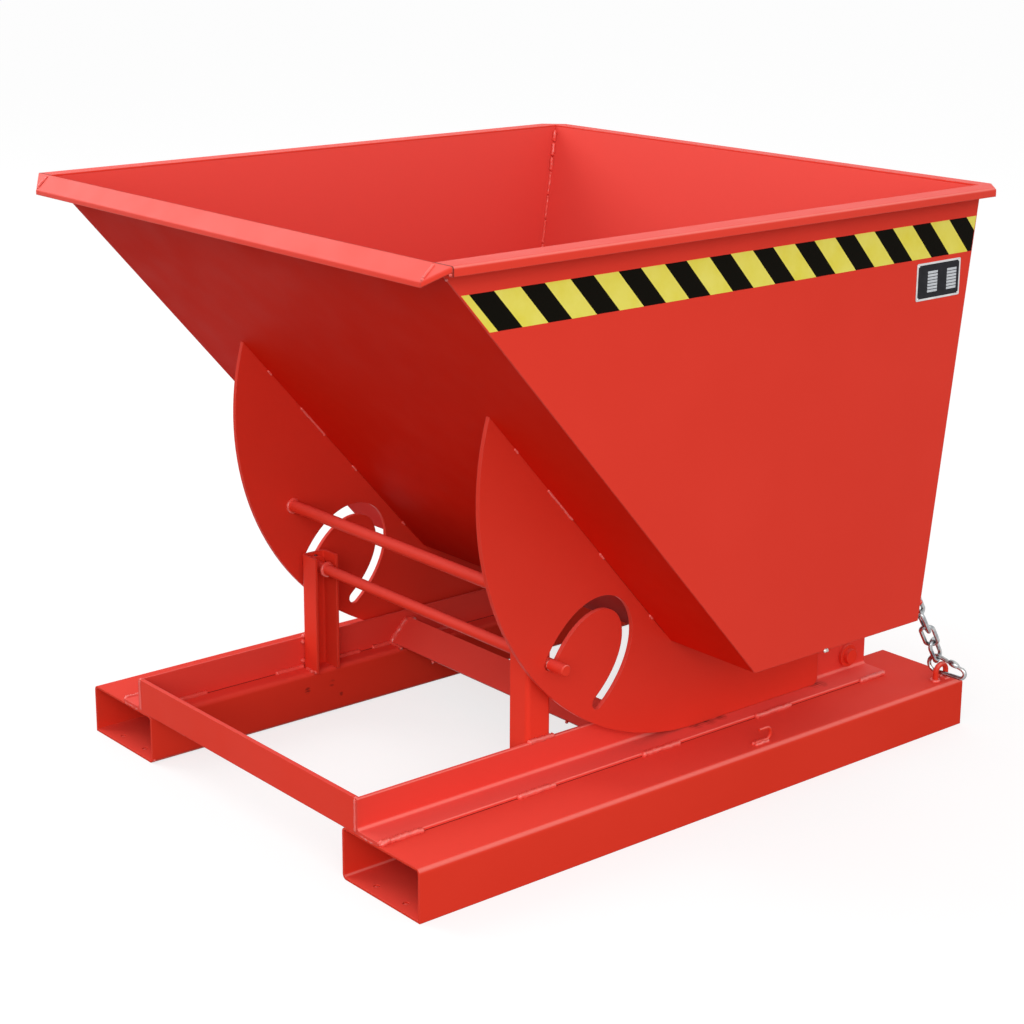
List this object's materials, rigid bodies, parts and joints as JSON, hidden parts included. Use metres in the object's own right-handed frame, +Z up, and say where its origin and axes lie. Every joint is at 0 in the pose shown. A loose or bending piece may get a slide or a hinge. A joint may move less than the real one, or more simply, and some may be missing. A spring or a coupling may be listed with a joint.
{
  "type": "rolling tipping hopper",
  "caption": "Sheet metal tipping hopper on curved rolling cams, with a guide shaft in slots, a fork pocket base, a rear latch and a securing chain.",
  "frame": {"origin": "on the floor, under the middle of the overall length and width", "axes": "+Y from the pouring front to the rear, +Z up, +X to the right of a viewer who faces the pouring front"},
  "size_m": [1.174, 1.3128, 1.027],
  "materials": {
    "red_paint": "semi-gloss",
    "zinc": "zinc plated",
    "plate": "satin black",
    "grip_plastic": "matte"
  },
  "bodies": {
    "base": {"fork_pocket_right": "red_paint", "fork_pocket_left": "red_paint", "rail_right": "red_paint", "rail_left": "red_paint", "front_bar": "red_paint", "cross_angle": "red_paint", "post_right": "red_paint", "post_left": "red_paint", "guide_shaft": "red_paint", "shaft_collar_right": "red_paint", "shaft_collar_left": "red_paint", "securing_eye": "red_paint", "park_clip": "red_paint"},
    "roll": {"contact_line_right": "red_paint", "contact_line_left": "red_paint"},
    "tub": {"side_wall_right": "red_paint", "side_wall_left": "red_paint", "front_wall": "red_paint", "floor_sheet": "red_paint", "rear_wall": "red_paint", "rim_right": "red_paint", "rim_left": "red_paint", "rim_rear": "red_paint", "pouring_lip": "red_paint", "lip_end_right": "red_paint", "lip_end_left": "red_paint", "cam_right": "red_paint", "cam_left": "red_paint", "tie_bar": "red_paint", "data_plate": "plate", "latch_catch": "red_paint", "chain_anchor": "red_paint"},
    "latch": {"latch_shaft": "red_paint", "latch_collar_right": "red_paint", "latch_collar_left": "red_paint", "latch_hook": "red_paint", "latch_lever": "red_paint", "lever_grip": "grip_plastic"},
    "chain": {"chain_link_1": "zinc", "chain_link_2": "zinc", "chain_link_3": "zinc", "chain_link_4": "zinc", "snap_hook": "zinc"},
    "gate": {"snap_gate": "zinc"}
  },
  "joints": [
    {"name": "track_roll", "type": "slide", "parent": "base", "child": "roll", "axis": [0, -1, 0], "range_m": [0, 0.6836]},
    {"name": "tip", "type": "hinge", "parent": "roll", "child": "tub", "pos_m": [0, 0.09888, 0.5859], "axis": [1, 0, 0], "range_deg": [0, 80]},
    {"name": "latch_release", "type": "hinge", "parent": "base", "child": "latch", "pos_m": [0, 0.51138, 0.124], "axis": [-1, 0, 0], "range_deg": [0, 25]},
    {"name": "chain_swing", "type": "hinge", "parent": "tub", "child": "chain", "pos_m": [0.4995, 0.4929, 0.2819], "axis": [1, 0, 0], "range_deg": [-94.1, 0]},
    {"name": "gate_open", "type": "hinge", "parent": "chain", "child": "gate", "pos_m": [0.50661, 0.62873, 0.11873], "axis": [0.2588, -0.9659, 0], "range_deg": [0, 18], "stiffness_Nm_per_rad": 0.02}
  ],
  "couplings": [
    {"joint": "track_roll", "follows": "tip", "m_per_rad": 0.4895},
    {"joint": "chain_swing", "follows": "tip", "ratio": -1.175}
  ]
}
